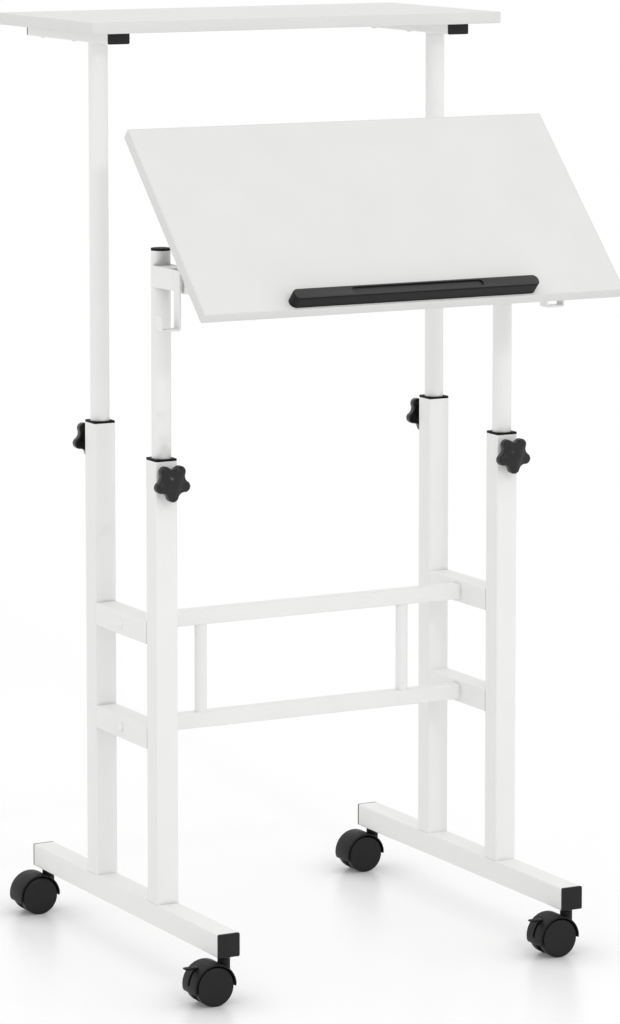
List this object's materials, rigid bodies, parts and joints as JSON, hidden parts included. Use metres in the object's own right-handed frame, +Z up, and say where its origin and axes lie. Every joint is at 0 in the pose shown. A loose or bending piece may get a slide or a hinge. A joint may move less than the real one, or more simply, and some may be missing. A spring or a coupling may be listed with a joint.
{
  "type": "sit-stand desk",
  "caption": "Narrow mobile sit-stand desk: a tilting desk panel with a pen ledge and a flat top shelf, on clamped telescopic posts over a castored tube frame.",
  "frame": {"origin": "on the floor under the middle of the desk's overall width and depth", "axes": "+Z up, the user in front towards -Y, +X to the user's right"},
  "size_m": [0.6052, 0.6213, 1.211],
  "materials": {
    "white_powder_coat": "satin white powder coat",
    "white_laminate_board": "matte white laminate on particle board",
    "black_plastic": "moulded, fine grain",
    "castor_plastic": "moulded nylon, satin",
    "wheel_plastic": "moulded nylon, satin",
    "zinc_steel": "bright zinc",
    "black_steel": "black zinc plating",
    "nylon": "natural nylon"
  },
  "bodies": {
    "base": {"left_foot": "white_powder_coat", "right_foot": "white_powder_coat", "left_front_column": "white_powder_coat", "left_rear_column": "white_powder_coat", "right_front_column": "white_powder_coat", "right_rear_column": "white_powder_coat", "left_upper_rail": "white_powder_coat", "left_lower_rail": "white_powder_coat", "right_upper_rail": "white_powder_coat", "right_lower_rail": "white_powder_coat", "upper_crossbar": "white_powder_coat", "lower_crossbar": "white_powder_coat", "crossbar_spindles": "white_powder_coat", "foot_end_caps": "black_plastic", "column_collars": "black_plastic", "crossbar_bolts": "white_powder_coat", "clamp_bosses": "white_powder_coat", "castor_stems": "black_steel"},
    "shelf_lift": {"left_rear_post": "white_powder_coat", "right_rear_post": "white_powder_coat", "left_shelf_arm": "white_powder_coat", "right_shelf_arm": "white_powder_coat", "shelf_arm_caps": "black_plastic", "top_shelf": "white_laminate_board", "shelf_screws": "zinc_steel"},
    "panel_lift": {"left_front_post": "white_powder_coat", "right_front_post": "white_powder_coat", "left_tilt_clevis": "white_powder_coat", "right_tilt_clevis": "white_powder_coat", "front_post_caps": "black_plastic", "pivot_nuts": "white_powder_coat"},
    "panel": {"desk_panel": "white_laminate_board", "left_panel_bracket": "white_powder_coat", "right_panel_bracket": "white_powder_coat", "panel_screws": "zinc_steel", "pen_ledge": "black_plastic", "ledge_screws": "zinc_steel", "pivot_washers": "nylon"},
    "left_lever": {"left_tilt_lever": "white_powder_coat", "left_pivot_bolt": "white_powder_coat"},
    "right_lever": {"right_tilt_lever": "white_powder_coat", "right_pivot_bolt": "white_powder_coat"},
    "left_front_knob": {"left_front_knob": "black_plastic"},
    "left_rear_knob": {"left_rear_knob": "black_plastic"},
    "right_front_knob": {"right_front_knob": "black_plastic"},
    "right_rear_knob": {"right_rear_knob": "black_plastic"},
    "left_front_castor": {"left_front_castor_hood": "castor_plastic"},
    "left_front_outer_wheel": {"left_front_outer_wheel": "wheel_plastic"},
    "left_front_inner_wheel": {"left_front_inner_wheel": "wheel_plastic"},
    "left_brake_pedal": {"left_brake_pedal": "castor_plastic"},
    "left_rear_castor": {"left_rear_castor_hood": "castor_plastic"},
    "left_rear_outer_wheel": {"left_rear_outer_wheel": "wheel_plastic"},
    "left_rear_inner_wheel": {"left_rear_inner_wheel": "wheel_plastic"},
    "right_front_castor": {"right_front_castor_hood": "castor_plastic"},
    "right_front_outer_wheel": {"right_front_outer_wheel": "wheel_plastic"},
    "right_front_inner_wheel": {"right_front_inner_wheel": "wheel_plastic"},
    "right_brake_pedal": {"right_brake_pedal": "castor_plastic"},
    "right_rear_castor": {"right_rear_castor_hood": "castor_plastic"},
    "right_rear_outer_wheel": {"right_rear_outer_wheel": "wheel_plastic"},
    "right_rear_inner_wheel": {"right_rear_inner_wheel": "wheel_plastic"}
  },
  "joints": [
    {"name": "shelf_height", "type": "slide", "parent": "base", "child": "shelf_lift", "axis": [0, 0, 1], "range_m": [-0.49, 0.02]},
    {"name": "panel_height", "type": "slide", "parent": "base", "child": "panel_lift", "axis": [0, 0, 1], "range_m": [-0.217, 0.12]},
    {"name": "panel_tilt", "type": "hinge", "parent": "panel_lift", "child": "panel", "pos_m": [0, -0.15881, 0.8965], "axis": [1, 0, 0], "range_deg": [-45, 30]},
    {"name": "left_lever_swing", "type": "hinge", "parent": "panel_lift", "child": "left_lever", "pos_m": [-0.25, -0.15881, 0.8965], "axis": [1, 0, 0], "range_deg": [-45, 0]},
    {"name": "right_lever_swing", "type": "hinge", "parent": "panel_lift", "child": "right_lever", "pos_m": [0.25, -0.15881, 0.8965], "axis": [1, 0, 0], "range_deg": [-45, 0]},
    {"name": "left_front_knob_turn", "type": "hinge", "parent": "base", "child": "left_front_knob", "pos_m": [-0.25, -0.07981, 0.636], "axis": [0, 1, 0], "range_deg": [0, 270]},
    {"name": "left_rear_knob_turn", "type": "hinge", "parent": "base", "child": "left_rear_knob", "pos_m": [-0.25, 0.10019, 0.662], "axis": [0, 1, 0], "range_deg": [0, 270]},
    {"name": "right_front_knob_turn", "type": "hinge", "parent": "base", "child": "right_front_knob", "pos_m": [0.25, -0.07981, 0.636], "axis": [0, 1, 0], "range_deg": [0, 270]},
    {"name": "right_rear_knob_turn", "type": "hinge", "parent": "base", "child": "right_rear_knob", "pos_m": [0.25, 0.10019, 0.662], "axis": [0, 1, 0], "range_deg": [0, 270]},
    {"name": "left_front_castor_swivel", "type": "hinge", "parent": "base", "child": "left_front_castor", "pos_m": [-0.25, -0.24981, 0.06], "axis": [0, 0, 1], "continuous": true},
    {"name": "left_front_outer_wheel_spin", "type": "hinge", "parent": "left_front_castor", "child": "left_front_outer_wheel", "pos_m": [-0.27, -0.24981, 0.025], "axis": [0, 1, 0], "continuous": true},
    {"name": "left_front_inner_wheel_spin", "type": "hinge", "parent": "left_front_castor", "child": "left_front_inner_wheel", "pos_m": [-0.27, -0.24981, 0.025], "axis": [0, 1, 0], "continuous": true},
    {"name": "left_brake_pedal_press", "type": "hinge", "parent": "left_front_castor", "child": "left_brake_pedal", "pos_m": [-0.27, -0.24981, 0.025], "axis": [0, 1, 0], "range_deg": [-18, 0]},
    {"name": "left_rear_castor_swivel", "type": "hinge", "parent": "base", "child": "left_rear_castor", "pos_m": [-0.25, 0.27019, 0.06], "axis": [0, 0, 1], "continuous": true},
    {"name": "left_rear_outer_wheel_spin", "type": "hinge", "parent": "left_rear_castor", "child": "left_rear_outer_wheel", "pos_m": [-0.27, 0.27019, 0.025], "axis": [0, 1, 0], "continuous": true},
    {"name": "left_rear_inner_wheel_spin", "type": "hinge", "parent": "left_rear_castor", "child": "left_rear_inner_wheel", "pos_m": [-0.27, 0.27019, 0.025], "axis": [0, 1, 0], "continuous": true},
    {"name": "right_front_castor_swivel", "type": "hinge", "parent": "base", "child": "right_front_castor", "pos_m": [0.25, -0.24981, 0.06], "axis": [0, 0, 1], "continuous": true},
    {"name": "right_front_outer_wheel_spin", "type": "hinge", "parent": "right_front_castor", "child": "right_front_outer_wheel", "pos_m": [0.23, -0.24981, 0.025], "axis": [0, 1, 0], "continuous": true},
    {"name": "right_front_inner_wheel_spin", "type": "hinge", "parent": "right_front_castor", "child": "right_front_inner_wheel", "pos_m": [0.23, -0.24981, 0.025], "axis": [0, 1, 0], "continuous": true},
    {"name": "right_brake_pedal_press", "type": "hinge", "parent": "right_front_castor", "child": "right_brake_pedal", "pos_m": [0.23, -0.24981, 0.025], "axis": [0, 1, 0], "range_deg": [-18, 0]},
    {"name": "right_rear_castor_swivel", "type": "hinge", "parent": "base", "child": "right_rear_castor", "pos_m": [0.25, 0.27019, 0.06], "axis": [0, 0, 1], "continuous": true},
    {"name": "right_rear_outer_wheel_spin", "type": "hinge", "parent": "right_rear_castor", "child": "right_rear_outer_wheel", "pos_m": [0.23, 0.27019, 0.025], "axis": [0, 1, 0], "continuous": true},
    {"name": "right_rear_inner_wheel_spin", "type": "hinge", "parent": "right_rear_castor", "child": "right_rear_inner_wheel", "pos_m": [0.23, 0.27019, 0.025], "axis": [0, 1, 0], "continuous": true}
  ]
}
